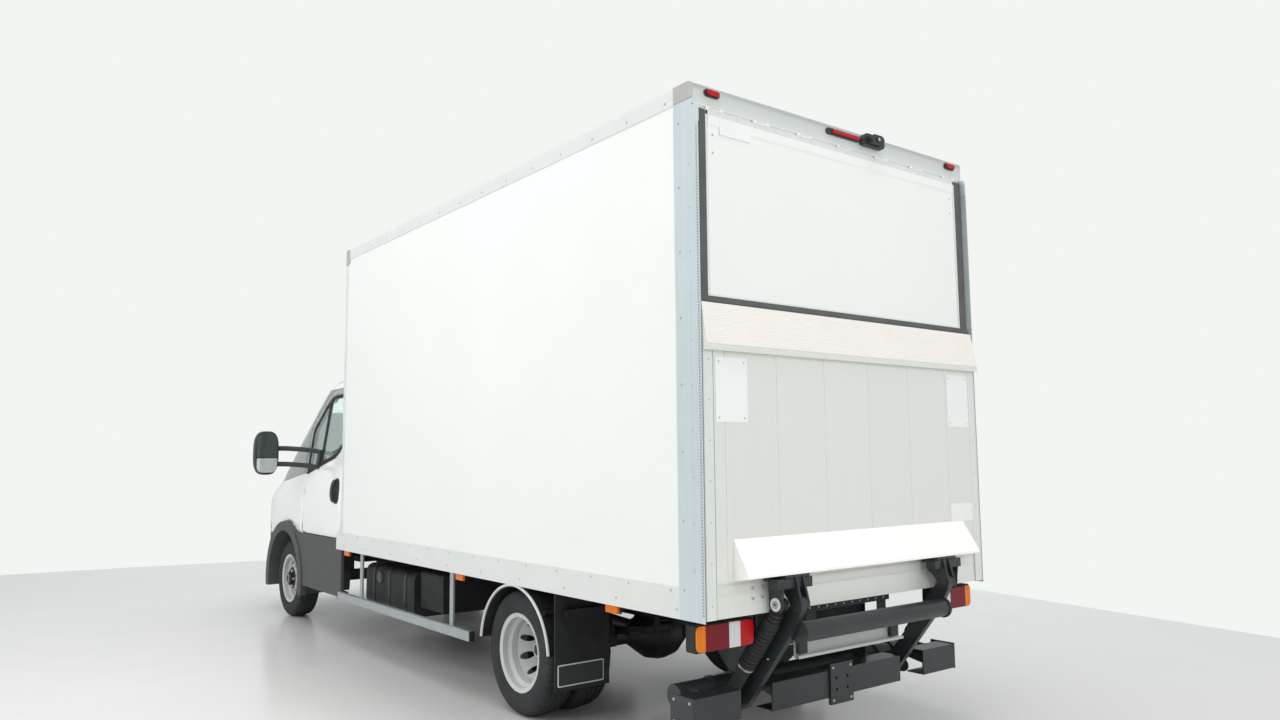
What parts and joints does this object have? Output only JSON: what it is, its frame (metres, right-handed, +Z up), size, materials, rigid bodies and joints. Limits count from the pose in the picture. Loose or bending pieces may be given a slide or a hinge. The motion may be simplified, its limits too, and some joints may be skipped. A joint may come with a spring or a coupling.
{
  "type": "box truck",
  "caption": "Light box truck with a high plain-sided load box, a stowed folding tail-lift platform, twin rear wheels, a cab with a wind deflector and long-arm mirrors.",
  "frame": {"origin": "centre of the bounding box in plan, on the ground under the tyres", "axes": "+Z up, the truck faces -Y, its left side is +X"},
  "size_m": [2.836, 7.141, 3.177],
  "materials": {
    "chassis_black": "semi-gloss paint",
    "cast_dark": "oiled casting",
    "tyre_rubber": "matt rubber",
    "wheel_paint": "satin paint",
    "tank_black": "grained",
    "cab_paint": "gloss paint",
    "clear_glass": "clear",
    "dark_plastic": "grained",
    "lamp_clear": "clear lens",
    "seat_cloth": "woven",
    "panel_paint": "gloss paint",
    "floor_wood": "coated plywood",
    "rail_alu": "brushed",
    "frame_steel": "satin paint",
    "lens_amber": "lens",
    "lens_red": "lens",
    "lift_steel": "satin paint",
    "lift_black": "matt rubber",
    "pin_white": "plated",
    "deck_alu": "brushed",
    "wedge_white": "satin paint"
  },
  "bodies": {
    "chassis": {"chassis_rails": "chassis_black", "crossmembers": "chassis_black", "engine": "cast_dark", "rear_axle": "chassis_black", "propeller_shaft": "chassis_black", "rear_springs": "chassis_black", "front_suspension": "chassis_black", "fuel_tank": "tank_black", "cab_body": "cab_paint", "windscreen": "clear_glass", "front_bumper": "dark_plastic", "grille": "dark_plastic", "headlamps": "lamp_clear", "cladding": "dark_plastic", "dashboard": "dark_plastic", "seats": "seat_cloth", "roof_deflector": "cab_paint", "box_floor": "floor_wood", "box_bearers": "rail_alu", "side_panels": "panel_paint", "box_front": "panel_paint", "box_roof": "panel_paint", "box_rails": "rail_alu", "rear_posts": "frame_steel", "rear_sill": "frame_steel", "rear_header": "rail_alu", "marker_lamps": "lens_amber", "lift_frame": "lift_steel", "side_guards": "rail_alu", "mudguards": "tank_black", "tail_lamps": "lens_red"},
    "knuckle_left": {"knuckle_left": "cast_dark"},
    "knuckle_right": {"knuckle_right": "cast_dark"},
    "wheel_front_left": {"tyre_front_left": "tyre_rubber", "rim_front_left": "wheel_paint"},
    "wheel_front_right": {"tyre_front_right": "tyre_rubber", "rim_front_right": "wheel_paint"},
    "wheels_rear_left": {"tyres_rear_left": "tyre_rubber", "rims_rear_left": "wheel_paint"},
    "wheels_rear_right": {"tyres_rear_right": "tyre_rubber", "rims_rear_right": "wheel_paint"},
    "door_left": {"door_left": "cab_paint", "glass_left": "clear_glass", "mirror_left": "dark_plastic"},
    "door_right": {"door_right": "cab_paint", "glass_right": "clear_glass", "mirror_right": "dark_plastic"},
    "bonnet": {"bonnet": "cab_paint"},
    "flap": {"flap_door": "panel_paint"},
    "arms": {"lift_arms": "lift_steel"},
    "barrels": {"tilt_barrels": "lift_black"},
    "rods": {"tilt_rods": "pin_white"},
    "deck": {"platform": "deck_alu", "platform_wedge": "wedge_white", "platform_brackets": "lift_steel"}
  },
  "joints": [
    {"name": "steer_left", "type": "hinge", "parent": "chassis", "child": "knuckle_left", "pos_m": [0.735, -2.5705, 0.348], "axis": [0, 0, 1], "range_deg": [-35, 35]},
    {"name": "steer_right", "type": "hinge", "parent": "chassis", "child": "knuckle_right", "pos_m": [-0.735, -2.5705, 0.348], "axis": [0, 0, 1], "range_deg": [-35, 35]},
    {"name": "roll_front_left", "type": "hinge", "parent": "knuckle_left", "child": "wheel_front_left", "pos_m": [0.86, -2.5705, 0.348], "axis": [1, 0, 0], "continuous": true},
    {"name": "roll_front_right", "type": "hinge", "parent": "knuckle_right", "child": "wheel_front_right", "pos_m": [-0.86, -2.5705, 0.348], "axis": [1, 0, 0], "continuous": true},
    {"name": "roll_rear_left", "type": "hinge", "parent": "chassis", "child": "wheels_rear_left", "pos_m": [0.8, 1.7795, 0.348], "axis": [1, 0, 0], "continuous": true},
    {"name": "roll_rear_right", "type": "hinge", "parent": "chassis", "child": "wheels_rear_right", "pos_m": [-0.8, 1.7795, 0.348], "axis": [1, 0, 0], "continuous": true},
    {"name": "door_left_swing", "type": "hinge", "parent": "chassis", "child": "door_left", "pos_m": [1.004, -2.1645, 1], "axis": [0, 0, -1], "range_deg": [0, 62]},
    {"name": "door_right_swing", "type": "hinge", "parent": "chassis", "child": "door_right", "pos_m": [-1.004, -2.1645, 1], "axis": [0, 0, 1], "range_deg": [0, 62]},
    {"name": "bonnet_lift", "type": "hinge", "parent": "chassis", "child": "bonnet", "pos_m": [0, -2.9165, 1.269], "axis": [-1, 0, 0], "range_deg": [0, 50]},
    {"name": "flap_lift", "type": "hinge", "parent": "chassis", "child": "flap", "pos_m": [0, 3.4095, 3.054], "axis": [1, 0, 0], "range_deg": [0, 88]},
    {"name": "arm_lift", "type": "hinge", "parent": "chassis", "child": "arms", "pos_m": [0, 3.14939, 0.27537], "axis": [1, 0, 0], "range_deg": [-72, 0]},
    {"name": "platform_tilt", "type": "hinge", "parent": "arms", "child": "deck", "pos_m": [0, 3.5375, 0.783], "axis": [-1, 0, 0], "range_deg": [0, 90]},
    {"name": "tilt_pivot", "type": "hinge", "parent": "chassis", "child": "barrels", "pos_m": [0, 3.09939, 0.27237], "axis": [1, 0, 0], "range_deg": [-72, 0]},
    {"name": "tilt_slide", "type": "slide", "parent": "barrels", "child": "rods", "axis": [0, 0.6074, 0.7944], "range_m": [0, 0.0707]}
  ],
  "couplings": [
    {"joint": "steer_right", "follows": "steer_left", "ratio": 1},
    {"joint": "tilt_pivot", "follows": "arm_lift", "ratio": 1},
    {"joint": "tilt_slide", "follows": "platform_tilt", "m_per_rad": 0.045}
  ]
}
